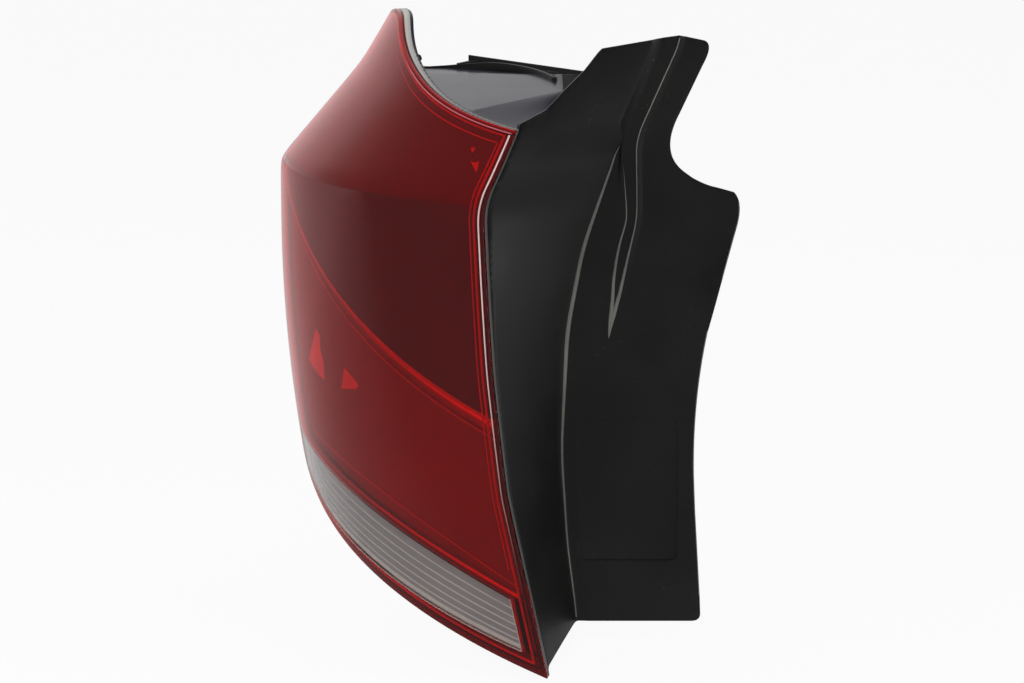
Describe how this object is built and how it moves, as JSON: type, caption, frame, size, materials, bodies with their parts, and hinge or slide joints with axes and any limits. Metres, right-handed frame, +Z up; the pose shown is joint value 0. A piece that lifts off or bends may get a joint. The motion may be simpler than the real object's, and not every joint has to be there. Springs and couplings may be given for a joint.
{
  "type": "tail light cluster",
  "caption": "Right-hand rear combination lamp with a wrap-round red lens, clear ribbed strip, black housing and shroud wing, studs and a bulb holder.",
  "frame": {"origin": "seat of the upper stud on the back plate of the housing", "axes": "+X forward on the car, along the studs, +Y inboard, which is to the car's left, +Z up"},
  "size_m": [0.2831, 0.1775, 0.3801],
  "materials": {
    "housing_black": "fine moulded grain",
    "red_lens": "polished transparent",
    "clear_lens": "polished transparent, ribbed inside",
    "pale_frame": "frosted",
    "dark_bezel": "satin",
    "bright_trim": "vacuum metallised",
    "mirror_coat": "vacuum metallised",
    "holder_plastic": "moulded",
    "rubber_black": "matt",
    "plated_steel": "zinc plated",
    "brass_strip": "stamped",
    "bulb_clear": "clear",
    "bulb_amber": "amber",
    "foam": "closed-cell foam",
    "membrane": "woven membrane"
  },
  "bodies": {
    "root": {"housing": "housing_black", "lens_red": "red_lens", "lens_strip": "clear_lens", "weld_frame": "pale_frame", "dark_bezel": "dark_bezel", "arc_trim": "bright_trim", "stop_reflector": "mirror_coat", "strip_reflector": "mirror_coat", "bulb_holder": "holder_plastic", "holder_gasket": "rubber_black", "holder_screws": "plated_steel", "contact_tracks": "brass_strip", "connector_pins": "brass_strip", "stop_bulb_glass": "bulb_clear", "stop_bulb_cap": "brass_strip", "turn_bulb_glass": "bulb_amber", "turn_bulb_cap": "brass_strip", "body_gasket": "foam", "upper_stud": "plated_steel", "lower_stud": "plated_steel", "tip_buffer": "rubber_black", "vent_cap": "housing_black", "vent_membrane": "membrane"}
  },
  "joints": []
}
